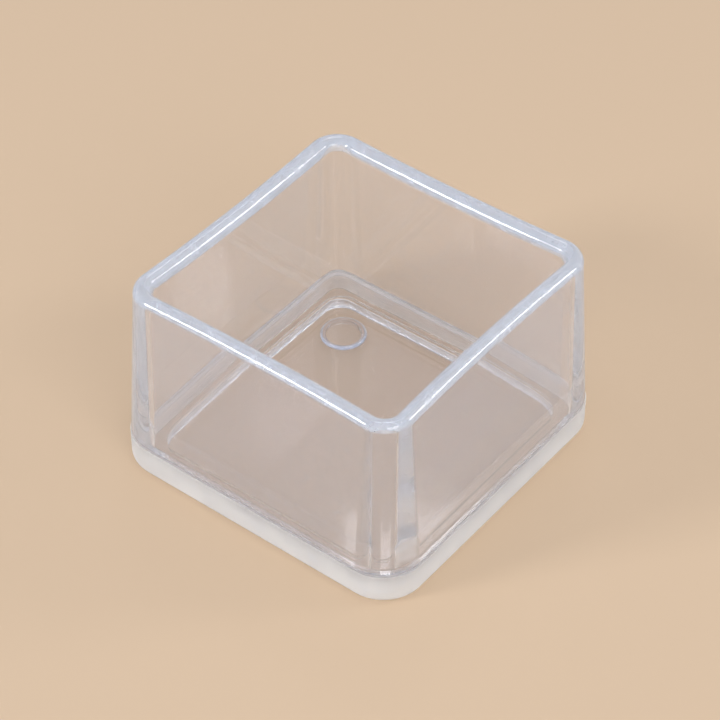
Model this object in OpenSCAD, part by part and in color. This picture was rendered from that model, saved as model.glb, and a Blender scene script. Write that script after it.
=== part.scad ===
// Clear square leg cap: an open cup that a square chair leg pushes into, a foot ring seated in a
// rebate round the bottom of the cup, and a round plug that closes the hole in the cup's floor.
// Millimetres. The origin is the middle of the underside, and +Z points out of the mouth.

/* [Leg socket] */
// Side of the square mouth, across the flats
mouth_w = 40; // [24:0.5:60]
// Corner radius of the mouth
mouth_corner_r = 1.8; // [0.8:0.1:4]
// Slope of the socket faces, which narrow towards the floor, in degrees
socket_draft = 0.2; // [0.1:0.1:1.5]

/* [Wall] */
// Height of the cap, from the ground to the top of the rim
cap_h = 30.6; // [20:0.2:50]
// Thickness of the wall at the rim
rim_t = 2.7; // [2:0.1:3.2]
// Radius of the rim's inner edge, which leads the leg in; the rest of the rim is its outer radius
lead_r = 1.6; // [1.4:0.1:2.2]
// Slope of the outer faces, which widen towards the foot, in degrees
wall_draft = 3.8; // [2:0.1:5]

/* [Floor] */
// Height of the floor's underside above the ground, so that the foot ring carries the load
stand_off = 0.3; // [0.2:0.05:0.6]
// Thickness of the floor
floor_t = 1.2; // [0.8:0.1:2]
// Height above the floor of the ledge that the leg stands on
ledge_h = 2; // [1.2:0.1:2.6]
// Width of the ledge
ledge_w = 0.9; // [0.4:0.05:1.2]
// Radius of the cove between the floor and the face below the ledge
cove_r = 0.8; // [0.4:0.1:1.1]
// Corner radius of the ledge's inner edge
cove_corner_r = 3; // [2.5:0.1:5]

/* [Foot ring] */
// Height of the ring, which is also the height of the shoulder that sits on it
ring_h = 4.8; // [3:0.1:6]
// Thickness of the ring, from the rebate to its outer face
ring_t = 2.2; // [1.5:0.1:2.6]
// Distance that the ring stands out from the wall above it
ring_step = 0.1; // [0.05:0.05:0.8]
// Radius of the ring's lower outer edge
ring_edge_r = 1.1; // [0.4:0.1:1.4]
// Clearance between the ring and the cup's foot
ring_gap = 0.05; // [0.02:0.01:0.15]

/* [Floor plug] */
// Diameter of the plug's head
plug_head_d = 6.8; // [5.6:0.1:7.4]
// Thickness of the plug's head
plug_head_t = 0.5; // [0.5:0.1:1]
// Radius of the rounded edge of the head
plug_edge_r = 0.35; // [0.1:0.05:0.45]
// Diameter of the hole through the floor
plug_hole_d = 5.4; // [3:0.1:5.4]
// Clearance all round between the plug's shank and the hole
plug_gap = 0.05; // [0.02:0.01:0.15]
// Distance from the flats of the mouth to the centre of the plug
plug_inset = 6.25; // [5.8:0.05:9]

/* [Hidden] */
$fn = 96;
// Extra length of cutting tools past the faces they cut
cut_over = 1;
// Step that sizes worked out from the slopes are rounded down to
size_step = 0.01;
function stepped(size) = floor(size / size_step) * size_step;

// The square that every wall section is carried round: its corners are the centres of the corner curves
core = mouth_w / 2 - mouth_corner_r;

// Crest of the rim, its two edge curves, and where the socket face and the outer face leave them
lip_r = rim_t - lead_r;
crest_x = mouth_corner_r + lead_r;
lead_z = cap_h - lead_r;
lip_z = cap_h - lip_r;
inner_tangent = [crest_x - lead_r * cos(socket_draft), lead_z + lead_r * sin(socket_draft)];
outer_tangent = [crest_x + lip_r * cos(wall_draft), lip_z + lip_r * sin(wall_draft)];

// Distances from the core square to the socket face and to the outer face at a height
function socket_x(z) = inner_tangent[0] - (inner_tangent[1] - z) * tan(socket_draft);
function wall_x(z) = outer_tangent[0] + (outer_tangent[1] - z) * tan(wall_draft);

// Floor, cove and ledge
floor_z = stand_off + floor_t;
ledge_z = floor_z + ledge_h;
cove_half = stepped(core + socket_x(ledge_z) - ledge_w);
cove_core = cove_half - cove_corner_r;

// Foot ring and the rebate that it sits in
ring_x = stepped(wall_x(ring_h) + ring_step);
ring_inner_x = ring_x - ring_t;
rebate_x = ring_inner_x - ring_gap;

// The plug stands on the diagonal of the floor
plug_at = mouth_w / 2 - plug_inset;
plug_shank_r = plug_hole_d / 2 - plug_gap;

// Carries a section round a square: four straight runs and four quarter turns.
// The section is drawn with x as the distance from the square and y as the height.
module carry_round(half) {
    for (quarter = [0:3])
        rotate(90 * quarter)
            translate([half, half, 0]) {
                rotate_extrude(angle = 90) children();
                rotate([90, 0, 0]) linear_extrude(2 * half) children();
            }
}

// The block inside a square between two heights
module core_block(half, low, high) {
    translate([-half, -half, low]) cube([2 * half, 2 * half, high - low]);
}

// Inner half of the rim: the side of a disc that faces the socket
module lead_in() {
    intersection() {
        translate([crest_x, lead_z]) circle(r = lead_r);
        translate([crest_x - lead_r - cut_over, lead_z - lead_r - cut_over])
            square([lead_r + cut_over, 2 * (lead_r + cut_over)]);
    }
}

// Wall with its round rim, and below the ledge the solid foot with the rebate and shoulder
module cup_section() {
    polygon([
        [0, stand_off],
        [rebate_x, stand_off],
        [rebate_x, ring_h],
        [wall_x(ring_h), ring_h],
        outer_tangent,
        [crest_x, lip_z],
        [crest_x, lead_z],
        inner_tangent,
        [socket_x(ledge_z), ledge_z],
        [0, ledge_z],
    ]);
    translate([crest_x, lip_z]) circle(r = lip_r);
    lead_in();
}

// The dish inside the ledge: a flat floor that turns up through the cove to the ledge's inner edge
module cove_section() {
    flat = cove_corner_r - cove_r;
    cove_z = floor_z + cove_r;
    intersection() {
        union() {
            translate([0, floor_z]) square([flat, ledge_h + cut_over]);
            translate([flat, cove_z]) circle(r = cove_r);
            translate([flat, cove_z]) square([cove_r, ledge_h - cove_r + cut_over]);
        }
        translate([0, floor_z]) square([cove_corner_r, ledge_h + cut_over]);
    }
}

// Ring with a flat foot, a rounded lower outer edge and a square top that the shoulder meets
module ring_section() {
    intersection() {
        translate([ring_inner_x, 0]) square([ring_t, ring_h]);
        union() {
            translate([ring_inner_x, 0]) square([ring_t - ring_edge_r, ring_h]);
            translate([ring_inner_x, ring_edge_r]) square([ring_t, ring_h - ring_edge_r]);
            translate([ring_x - ring_edge_r, ring_edge_r]) circle(r = ring_edge_r);
        }
    }
}

// Half section of the plug: a shank as long as the floor is thick, and a head with a rounded edge
module plug_section() {
    head_r = plug_head_d / 2;
    translate([0, stand_off]) square([plug_shank_r, floor_t]);
    translate([0, floor_z])
        intersection() {
            square([head_r, plug_head_t]);
            union() {
                square([head_r, plug_head_t - plug_edge_r]);
                square([head_r - plug_edge_r, plug_head_t]);
                translate([head_r - plug_edge_r, plug_head_t - plug_edge_r]) circle(r = plug_edge_r);
            }
        }
}

// The space inside the ledge, as one solid
module dish() {
    union() {
        carry_round(cove_core) cove_section();
        core_block(cove_core, floor_z, ledge_z + cut_over);
    }
}

module cup() {
    color([0.86, 0.88, 0.95, 0.45])
        difference() {
            union() {
                carry_round(core) cup_section();
                core_block(core, stand_off, ledge_z);
            }
            dish();
            translate([-plug_at, plug_at, stand_off - cut_over])
                cylinder(d = plug_hole_d, h = floor_t + 2 * cut_over);
        }
}

module foot_ring() {
    color([0.93, 0.94, 0.97, 0.75])
        carry_round(core) ring_section();
}

module floor_plug() {
    color([0.9, 0.91, 0.96, 0.55])
        translate([-plug_at, plug_at, 0])
            rotate_extrude() plug_section();
}

cup();
foot_ring();
floor_plug();
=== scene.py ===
import math

import bpy
import numpy as np
from mathutils import Matrix, Vector


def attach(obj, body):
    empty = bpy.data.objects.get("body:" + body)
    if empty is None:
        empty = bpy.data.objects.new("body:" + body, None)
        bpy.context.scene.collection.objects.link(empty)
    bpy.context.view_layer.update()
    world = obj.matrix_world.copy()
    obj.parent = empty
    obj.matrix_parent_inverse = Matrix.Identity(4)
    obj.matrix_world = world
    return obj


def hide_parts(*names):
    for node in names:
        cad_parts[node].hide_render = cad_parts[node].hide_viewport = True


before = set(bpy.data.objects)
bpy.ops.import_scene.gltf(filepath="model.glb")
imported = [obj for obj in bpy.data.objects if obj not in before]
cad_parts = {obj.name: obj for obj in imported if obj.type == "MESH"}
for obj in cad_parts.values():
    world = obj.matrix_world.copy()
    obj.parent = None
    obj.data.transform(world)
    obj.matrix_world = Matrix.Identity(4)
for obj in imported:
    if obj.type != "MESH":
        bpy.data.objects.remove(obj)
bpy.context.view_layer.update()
scene = bpy.context.scene


# Cup.
# The real piece is one clear injection moulding, faintly blue-lilac, with the polish of its mould.
# Its walls have drawn inward a little at mid-side in cooling. The leg pushes into its mouth.

MM = 0.001
CORE = 18.2
DISH_CORE, DISH_CORNER, COVE_R, FLAT_X = 16.01, 3, 0.8, 0.6
UNDER_Z, FLOOR_Z, LEDGE_Z, SHOULDER_Z, TOP_Z = 0.3, 1.5, 3.5, 4.8, 30.6
CREST_X, LEAD_R, LIP_R = 3.4, 1.6, 1.1
SOCKET_SLOPE, WALL_SLOPE = math.radians(0.2), math.radians(3.8)
REBATE_X = 3.99
LEDGE_LAP = 0.3
EDGE_R, TIGHT_R = 0.1, 0.02
BOW = 0.42
WALL_LIGHT_SHARE = 0.22
PLUG_AT = np.array([-13.75, 13.75])
HOLE_R = 2.7


def walk(*stops):
    """A section as an array of (reach, height) points. A stop (x, z, radius) is a corner rounded by an arc
    that is tangent to both runs. Long straight runs get a point close to each end, which keeps their
    normals flat."""
    stops = [np.array(s, float) for s in stops]
    points = [stops[0][:2]]
    for before, at, after in zip(stops, stops[1:], stops[2:]):
        if len(at) == 2:
            points.append(at)
            continue
        into, out = before[:2] - at[:2], after[:2] - at[:2]
        into, out = into / np.hypot(*into), out / np.hypot(*out)
        half = math.acos(np.clip(into @ out, -1, 1)) / 2
        centre = at[:2] + (into + out) / np.hypot(*(into + out)) * at[2] / math.sin(half)
        start, end = at[:2] + into * at[2] / math.tan(half), at[:2] + out * at[2] / math.tan(half)
        a, b = start - centre, end - centre
        turn = math.atan2(a[0] * b[1] - a[1] * b[0], a @ b)
        steps = np.linspace(0, turn, 3 + int(abs(turn) / 0.2))[:, None]
        points.extend(centre + a * np.cos(steps) + np.array([-a[1], a[0]]) * np.sin(steps))
    points.append(stops[-1][:2])
    dense = []
    for a, b in zip(points, points[1:]):
        dense.append(a)
        length = np.hypot(*(b - a))
        if length > 0.4:
            dense.extend(a + (b - a) * t for t in (0.06 / length, 0.5, 1 - 0.06 / length))
    dense.append(points[-1])
    return np.array(dense)


def carry(section, core):
    """Carries a section round a square with rounded corners. A point of the section has a reach r and a
    height z. Its ring is core * A(u) + (r - s) * C(u): A runs along the square's side and stops at the corner
    while C turns through the quarter circle, and s is the bow, which grows with the height above the shoulder
    and falls with the square of the distance from mid-side."""
    run = np.array([0, 0.1, 0.2, 0.3, 0.4, 0.5, 0.6, 0.7, 0.8, 0.9, 0.97, 0.995])
    turn = np.linspace(0, math.pi / 2, 17)
    one, none = np.ones(run.size), np.zeros(run.size)
    along = np.concatenate([np.c_[one, run], np.ones((turn.size, 2)), np.c_[run, one][:0:-1]])
    out = np.concatenate([np.c_[one, none], np.c_[np.cos(turn), np.sin(turn)], np.c_[none, one][:0:-1]])
    spin = [np.linalg.matrix_power(np.array([[0, 1], [-1, 0]]), k) for k in range(4)]
    along, out = (np.concatenate([part @ m for m in spin]) for part in (along, out))
    r, z = section[:, 0, None], section[:, 1, None]
    bow = BOW * np.clip((z - SHOULDER_Z) / (TOP_Z - SHOULDER_Z), 0, 1) * (1 - np.abs(along).min(1) ** 2)
    flat = core * along + (r - bow)[..., None] * out
    return np.concatenate([flat, np.broadcast_to(z[..., None], flat.shape[:2] + (1,))], 2)


def to_circle(ring, centre, radius, shares):
    """Rings that shrink from a given ring to a circle: each point keeps its direction from the circle's
    centre, and its distance runs from that of the ring to the radius as the share goes from 0 to 1."""
    arm = ring[:, :2] - centre
    circle = centre + arm / np.hypot(arm[:, 0], arm[:, 1])[:, None] * radius
    flat = ring[:, :2] + (circle - ring[:, :2]) * np.asarray(shares)[:, None, None]
    return np.concatenate([flat, np.full(flat.shape[:2] + (1,), ring[0, 2])], 2)


def new_object(name, points, faces):
    """An object in the scene, with smooth faces that break at sharp edges. The points are in millimetres."""
    mesh = bpy.data.meshes.new(name)
    mesh.from_pydata((points * MM).tolist(), [], faces)
    mesh.polygons.foreach_set("use_smooth", np.ones(len(mesh.polygons), bool))
    mesh.set_sharp_from_angle(angle=math.radians(35))
    made = bpy.data.objects.new(name, mesh)
    scene.collection.objects.link(made)
    return made


def closed_object(name, grid):
    """An object from a grid of points that is closed both ways, with its faces outward."""
    at = np.arange(grid.shape[0] * grid.shape[1]).reshape(grid.shape[:2])
    right, below = np.roll(at, -1, 1), np.roll(at, -1, 0)
    faces = np.stack([at, right, np.roll(below, -1, 1), below], 2).reshape(-1, 4)
    points = grid.reshape(-1, 3)
    a, b, c, d = (points[faces[:, k]] for k in range(4))
    if np.einsum("ij,ij->i", a + b + c + d, np.cross(c - a, d - b)).sum() < 0:
        faces = faces[:, ::-1]
    return new_object(name, points, faces.tolist())


def add(tree, kind, *inputs, **settings):
    """Adds a shader node and returns it. Each input is a socket and a value or the output that feeds it."""
    made = tree.nodes.new("ShaderNode" + kind)
    for name, value in settings.items():
        setattr(made, name, value)
    for socket, value in inputs:
        if isinstance(value, bpy.types.NodeSocket):
            tree.links.new(value, made.inputs[socket])
        else:
            made.inputs[socket].default_value = value
    return made


def spread(tree, value, low, high, start=0.0, end=1.0):
    """The output of a node that maps a value from start..end to low..high and holds it there."""
    return add(tree, "MapRange", ("Value", value), ("From Min", start), ("From Max", end), ("To Min", low),
               ("To Max", high)).outputs["Result"]


def socket_x(z):
    """Reach of the socket face at a height."""
    top = TOP_Z - LEAD_R + LEAD_R * math.sin(SOCKET_SLOPE)
    return CREST_X - LEAD_R * math.cos(SOCKET_SLOPE) - (top - z) * math.tan(SOCKET_SLOPE)


def wall_x(z):
    """Reach of the outer face at a height."""
    top = TOP_Z - LIP_R + LIP_R * math.sin(WALL_SLOPE)
    return CREST_X + LIP_R * math.cos(WALL_SLOPE) + (top - z) * math.tan(WALL_SLOPE)


dish = walk((FLAT_X, FLOOR_Z), (DISH_CORNER, FLOOR_Z, COVE_R), (DISH_CORNER, LEDGE_Z, EDGE_R),
            (DISH_CORNER + LEDGE_LAP, LEDGE_Z))
inner = walk((socket_x(LEDGE_Z) - LEDGE_LAP, LEDGE_Z), (socket_x(LEDGE_Z), LEDGE_Z, EDGE_R),
             (socket_x(TOP_Z - LEAD_R), TOP_Z - LEAD_R))
lead = np.linspace(math.pi - SOCKET_SLOPE, math.pi / 2, 13)[1:-1]
lip = np.linspace(math.pi / 2, WALL_SLOPE, 13)[:-1]
rim = np.concatenate([
    np.c_[CREST_X + LEAD_R * np.cos(lead), TOP_Z - LEAD_R + LEAD_R * np.sin(lead)],
    np.c_[CREST_X + LIP_R * np.cos(lip), TOP_Z - LIP_R + LIP_R * np.sin(lip)],
])
outer = walk((wall_x(TOP_Z - LIP_R), TOP_Z - LIP_R), (wall_x(SHOULDER_Z), SHOULDER_Z, TIGHT_R),
             (REBATE_X, SHOULDER_Z, TIGHT_R), (REBATE_X, UNDER_Z, 0.15), (REBATE_X - 1, UNDER_Z))
dish_rings = carry(dish, DISH_CORE)
wall_rings = carry(np.concatenate([inner, rim, outer]), CORE)
shares = np.array([0.02, 0.3, 0.6, 0.9, 0.98, 1])
floor_rings = to_circle(dish_rings[0], PLUG_AT, HOLE_R, shares[::-1])
under_rings = to_circle(wall_rings[-1], PLUG_AT, HOLE_R, shares)
cup_grid = np.concatenate([floor_rings, dish_rings, wall_rings, under_rings])
cup = closed_object("cup_skin", cup_grid)

# Painted light: the rims get a full share, which makes them pale blue and less clear so that they read
# bright. It stands in for the light that the clear rims pipe and refract. The outer wall faces above the
# shoulder get a share of 0.22 of it.
plain_inside = np.zeros(len(floor_rings) + len(dish_rings) + len(inner))
on_wall = np.where(outer[:, 1] > SHOULDER_Z + 0.01, WALL_LIGHT_SHARE, 0.0)
painted_light = np.concatenate([plain_inside, np.ones(len(rim)), on_wall, np.zeros(len(under_rings))])
painted_light = np.repeat(painted_light, cup_grid.shape[1])
cup.data.attributes.new("painted_light", "FLOAT", "POINT").data.foreach_set("value", painted_light)

clear = bpy.data.materials.new("clear_plastic")
clear.use_nodes = True
tree = clear.node_tree
shader = tree.nodes["Principled BSDF"]
shader.inputs["IOR"].default_value = 1.49
place = add(tree, "TexCoord").outputs["Object"]
smear = add(tree, "TexNoise", ("Vector", place), ("Scale", 170), ("Detail", 4)).outputs["Fac"]
strand = add(tree, "TexNoise", ("Vector", place), ("Scale", 260), ("Detail", 1), ("Distortion", 1.2))
offset = add(tree, "Math", (0, strand.outputs["Fac"]), (1, 0.5), operation="SUBTRACT").outputs[0]
offset = add(tree, "Math", (0, offset), operation="ABSOLUTE").outputs[0]
hair = spread(tree, offset, 1, 0, 0.001, 0.004)
patch = spread(tree, smear, 0, 1, 0.52, 0.60)
hair = add(tree, "Math", (0, hair), (1, patch), operation="MULTIPLY").outputs[0]
grit = add(tree, "TexVoronoi", ("Vector", place), ("Scale", 420)).outputs["Distance"]
grit = spread(tree, grit, 1, 0, 0.03, 0.06)
grit = add(tree, "Math", (0, grit), (1, patch), operation="MULTIPLY").outputs[0]
mark = add(tree, "Math", (0, hair), (1, grit), operation="MAXIMUM").outputs[0]
polish = spread(tree, smear, 0.015, 0.05, 0.3, 0.7)
rough = add(tree, "Math", (0, mark), (1, 0.15), (2, polish), operation="MULTIPLY_ADD").outputs[0]
tree.links.new(rough, shader.inputs["Roughness"])
# The painted light tints the plastic pale blue and lowers its transmission, so a white-blue diffuse share
# shows: a painted glow on the rims, mottled at random.
skin = add(tree, "Attribute", attribute_name="painted_light").outputs["Fac"]
light_mottle = add(tree, "TexNoise", ("Vector", place), ("Scale", 380), ("Detail", 5), ("Distortion", 1.5))
light_mottle = spread(tree, light_mottle.outputs["Fac"], 0.85, 1.15, 0.38, 0.62)
skin = add(tree, "Math", (0, skin), (1, light_mottle), operation="MULTIPLY").outputs[0]
tint = add(tree, "MixRGB", (0, spread(tree, skin, 0, 1, 0.1, 0.9)), (1, (0.945, 0.94, 0.97, 1)),
           (2, (0.78, 0.86, 1.0, 1)))
tree.links.new(tint.outputs[0], shader.inputs["Base Color"])
skin = add(tree, "Math", (0, skin), (1, -0.24), (2, 1), operation="MULTIPLY_ADD").outputs[0]
passed = add(tree, "Math", (0, mark), (1, -0.18), (2, skin), operation="MULTIPLY_ADD").outputs[0]
tree.links.new(passed, shader.inputs["Transmission Weight"])
wave = add(tree, "TexNoise", ("Vector", place), ("Scale", 130), ("Detail", 1)).outputs["Fac"]
relief = add(tree, "Bump", ("Height", wave), ("Strength", 1.0), ("Distance", 0.000007)).outputs["Normal"]
tree.links.new(relief, shader.inputs["Normal"])
haze = add(tree, "VolumeScatter", ("Color", (0.84, 0.92, 1.0, 1)), ("Density", 30))
tree.links.new(haze.outputs[0], tree.nodes["Material Output"].inputs["Volume"])
cup.data.materials.append(clear)
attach(cup, "root")
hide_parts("cup")


# Foot ring.
# A frame of the same clear plastic, moulded on its own. Its outer face is frosted, and a white skin on it
# sends cool light back and lets warm light through. This white is painted light, standing in for the light
# that the clear foot bends out toward the camera. It is pushed into the rebate round the cup's foot, up
# against the shoulder.

RING_OUT, RING_IN, RING_EDGE, BOND = 6.24, 3.94, 1.1, 0.05
SEAM_Z = 2.0
FROST_X, FROST_RUN = 5.77, 0.3
WHITE_FULL_Z, WHITE_TOP = 2.6, 0.62
ring_top = SHOULDER_Z + BOND
ring_section = walk((RING_IN, SEAM_Z), (RING_IN, 0, EDGE_R), (RING_OUT, 0, RING_EDGE),
                    (RING_OUT, ring_top, 0.03), (RING_IN, ring_top, TIGHT_R), (RING_IN, SEAM_Z + 0.01))
ring_grid = carry(ring_section, CORE)
ring = closed_object("foot_ring_skin", ring_grid)

# The painted white covers the outer face: fully up to a height of 2.6 mm, thinning to 0.62 at the shoulder.
outward = np.clip((ring_section[:, 0] - FROST_X) / FROST_RUN, 0, 1)
painted_white = outward * np.interp(ring_section[:, 1], (WHITE_FULL_Z, SHOULDER_Z), (1, WHITE_TOP))
for name, share in (("frost", outward), ("painted_white", painted_white)):
    share = np.repeat(share, ring_grid.shape[1])
    ring.data.attributes.new(name, "FLOAT", "POINT").data.foreach_set("value", share)

frosted = bpy.data.materials.new("frosted_plastic")
frosted.use_nodes = True
tree = frosted.node_tree
shader = tree.nodes["Principled BSDF"]
shader.inputs["Base Color"].default_value = (0.98, 0.98, 0.985, 1)
shader.inputs["IOR"].default_value = 1.49
shader.inputs["Transmission Weight"].default_value = 1
place = add(tree, "TexCoord").outputs["Object"]
mottle = add(tree, "TexNoise", ("Vector", place), ("Scale", 330), ("Detail", 4)).outputs["Fac"]
mottle = spread(tree, mottle, 0.75, 1, 0.38, 0.58)
frost = add(tree, "Attribute", attribute_name="frost").outputs["Fac"]
frost = add(tree, "Math", (0, frost), (1, mottle), operation="MULTIPLY").outputs[0]
tree.links.new(spread(tree, frost, 0.03, 0.65), shader.inputs["Roughness"])
wave = add(tree, "TexNoise", ("Vector", place), ("Scale", 260), ("Detail", 2)).outputs["Fac"]
relief = add(tree, "Bump", ("Height", wave), ("Strength", 1.0), ("Distance", 0.00002)).outputs["Normal"]
tree.links.new(relief, shader.inputs["Normal"])
painted_white = add(tree, "Attribute", attribute_name="painted_white").outputs["Fac"]
painted_white = add(tree, "Math", (0, painted_white), (1, mottle), operation="MULTIPLY").outputs[0]
# The painted white skin: a cool diffuse white that sends light back and a warm translucent tint that lets it
# through.
sent_back = add(tree, "BsdfDiffuse", ("Color", (0.96, 0.98, 1.0, 1)))
let_through = add(tree, "BsdfTranslucent", ("Color", (1.0, 0.88, 0.76, 1)))
skin = add(tree, "MixShader", (0, 0.42), (1, sent_back.outputs[0]), (2, let_through.outputs[0]))
surface = add(tree, "MixShader", (0, painted_white), (1, shader.outputs[0]), (2, skin.outputs[0]))
tree.links.new(surface.outputs[0], tree.nodes["Material Output"].inputs["Surface"])
ring.data.materials.append(frosted)
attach(ring, "root")
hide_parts("foot_ring")


# Floor plug.
# A small round moulding of clear plastic: a flat head with a rounded edge and a short shank.
# Its shank is pressed into the hole through the cup's floor, and the head lies on the floor.

HEAD_R, HEAD_T, HEAD_EDGE, SHANK_R = 3.4, 0.5, 0.35, 2.72
PLUG_FLAT = 0.6
AROUND = 96


def turned_object(name, section, centre):
    """An object from a section of (radius, height) points turned round a vertical line; one point on the line
    closes each end."""
    angle = np.linspace(0, 2 * math.pi, AROUND, endpoint=False)
    r, z = section[:, 0, None], section[:, 1, None]
    grid = np.stack([centre[0] + r * np.cos(angle), centre[1] + r * np.sin(angle), z + 0 * angle], 2)
    at = np.arange(grid.shape[0] * grid.shape[1]).reshape(grid.shape[:2])
    right = np.roll(at, -1, 1)
    sides = np.stack([at[:-1], right[:-1], right[1:], at[1:]], 2).reshape(-1, 4)
    low, high = np.full(angle.size, at.size), np.full(angle.size, at.size + 1)
    ends = np.concatenate([np.c_[low, right[0], at[0]], np.c_[high, at[-1], right[-1]]])
    tips = np.c_[np.tile(centre, (2, 1)), section[[0, -1], 1]]
    return new_object(name, np.concatenate([grid.reshape(-1, 3), tips]), sides.tolist() + ends.tolist())


seat_z = FLOOR_Z - BOND
plug_section = walk((PLUG_FLAT, UNDER_Z), (SHANK_R, UNDER_Z, EDGE_R), (SHANK_R, seat_z), (HEAD_R, seat_z),
                    (HEAD_R, FLOOR_Z + HEAD_T, HEAD_EDGE), (PLUG_FLAT, FLOOR_Z + HEAD_T))
plug = turned_object("floor_plug_skin", plug_section, PLUG_AT)
# Painted highlight: the rounded edge of the head takes the clear material's full painted light. This pale
# blue diffuse ring stands in for the bright crescent that the edge reflects.
edge = (plug_section[:, 0] > HEAD_R - HEAD_EDGE - 0.01) & (plug_section[:, 1] > FLOOR_Z)
painted_light = np.zeros(len(plug.data.vertices))
painted_light[:edge.size * AROUND] = np.repeat(edge, AROUND)
plug.data.attributes.new("painted_light", "FLOAT", "POINT").data.foreach_set("value", painted_light)
plug.data.materials.append(clear)
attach(plug, "root")
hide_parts("floor_plug")


# Floor of the stage.
# A plain pale floor, just under the foot ring. Half of its brightness is its own, for the camera and for
# rays that the plastic bends, and the rest takes the cap's shadow.

PALE = (0.65, 0.483, 0.337, 1)
HALF_W, DROP = 3, 3e-5
OWN_SHARE = 0.5
corners = [(-HALF_W, -HALF_W), (HALF_W, -HALF_W), (HALF_W, HALF_W), (-HALF_W, HALF_W)]
stage_mesh = bpy.data.meshes.new("stage_floor")
stage_mesh.from_pydata([(x, y, -DROP) for x, y in corners], [], [(0, 1, 2, 3)])
stage = bpy.data.objects.new("stage_floor", stage_mesh)
scene.collection.objects.link(stage)
pale = bpy.data.materials.new("stage_floor")
pale.use_nodes = True
tree = pale.node_tree
shader = tree.nodes["Principled BSDF"]
shader.inputs["Roughness"].default_value = 0.75
shader.inputs["Base Color"].default_value = PALE
glow = add(tree, "Emission", ("Color", PALE))
path = add(tree, "LightPath").outputs
bent = add(tree, "Math", (0, path["Is Glossy Ray"]), (1, path["Is Transmission Ray"]), operation="MAXIMUM")
seen = add(tree, "Math", (0, path["Is Camera Ray"]), (1, bent.outputs[0]), operation="MAXIMUM")
own = add(tree, "Math", (0, seen.outputs[0]), (1, OWN_SHARE), operation="MULTIPLY")
mix = add(tree, "MixShader", (0, own.outputs[0]), (1, shader.outputs[0]), (2, glow.outputs[0]))
tree.links.new(mix.outputs[0], tree.nodes["Material Output"].inputs["Surface"])
stage_mesh.materials.append(pale)


# Light.
# A pale sky, palest low down on the right, which glass and gloss see brighter, and four soft lamps.
# The fill and the rear lamp stand where the round rims send a bright line to the camera.

world = bpy.data.worlds.new("studio")
scene.world = world
world.use_nodes = True
tree = world.node_tree
sky = tree.nodes["Background"]
way = add(tree, "TexCoord").outputs["Generated"]
toward = add(tree, "VectorMath", (0, way), (1, (0.4, 0.0, -0.3)), operation="DOT_PRODUCT").outputs["Value"]
fade = add(tree, "ValToRGB", (0, spread(tree, toward, 0, 1, -0.5, 0.4)))
fade.color_ramp.elements[0].position = 0.0
fade.color_ramp.elements[0].color = (0.45, 0.52, 0.64, 1)
fade.color_ramp.elements[1].position = 0.75
fade.color_ramp.elements[1].color = (0.95, 0.98, 1.0, 1)
tree.links.new(fade.outputs["Color"], sky.inputs["Color"])
path = add(tree, "LightPath").outputs
bent = add(tree, "Math", (0, path["Is Glossy Ray"]), (1, path["Is Transmission Ray"]), operation="MAXIMUM")
level = add(tree, "Math", (0, bent.outputs[0]), (1, 0.7), (2, 0.75), operation="MULTIPLY_ADD")
tree.links.new(level.outputs[0], sky.inputs["Strength"])
for name, spot, side, watts in (
    ("key", (0.55, -0.25, 0.5), 0.4, 2.4),
    ("fill", (-0.36, -0.58, 0.42), 0.18, 3.3),
    ("rear", (0.48, 0.46, 0.44), 0.18, 1.2),
    ("window", (-0.25, 0.4, 0.75), 0.2, 0.4),
):
    lamp = bpy.data.lights.new(name, "AREA")
    lamp.shape = "SQUARE"
    lamp.size = side
    lamp.energy = watts
    holder = bpy.data.objects.new(name, lamp)
    holder.location = spot
    holder.rotation_mode = "QUATERNION"
    holder.rotation_quaternion = (Vector((0, 0, 0.01)) - Vector(spot)).to_track_quat("-Z", "Y")
    scene.collection.objects.link(holder)

scene.cycles.max_bounces = 64
scene.cycles.transmission_bounces = 64
scene.cycles.glossy_bounces = 64
scene.cycles.volume_bounces = 32
scene.view_settings.view_transform = "Standard"


# Camera.
# It stands where the photo was taken from, worked out from the edges of the cap.

AZIMUTH, ELEVATION = math.radians(38.0), math.radians(42.86)
AWAY, ASIDE, ABOVE = 366.07, 0.041, 10.481
level_x, level_y = math.sin(AZIMUTH), -math.cos(AZIMUTH)
back = Vector((level_x * math.cos(ELEVATION), level_y * math.cos(ELEVATION), math.sin(ELEVATION)))
right = Vector((math.cos(AZIMUTH), math.sin(AZIMUTH), 0))
up = back.cross(right)
camera = bpy.data.objects.new("camera", bpy.data.cameras.new("camera"))
camera.data.sensor_width = 36
camera.data.lens = 130
stand = (back * AWAY + right * ASIDE + up * ABOVE) * MM
camera.matrix_world = Matrix.Translation(stand) @ Matrix((right, up, back)).transposed().to_4x4()
scene.collection.objects.link(camera)
scene.camera = camera
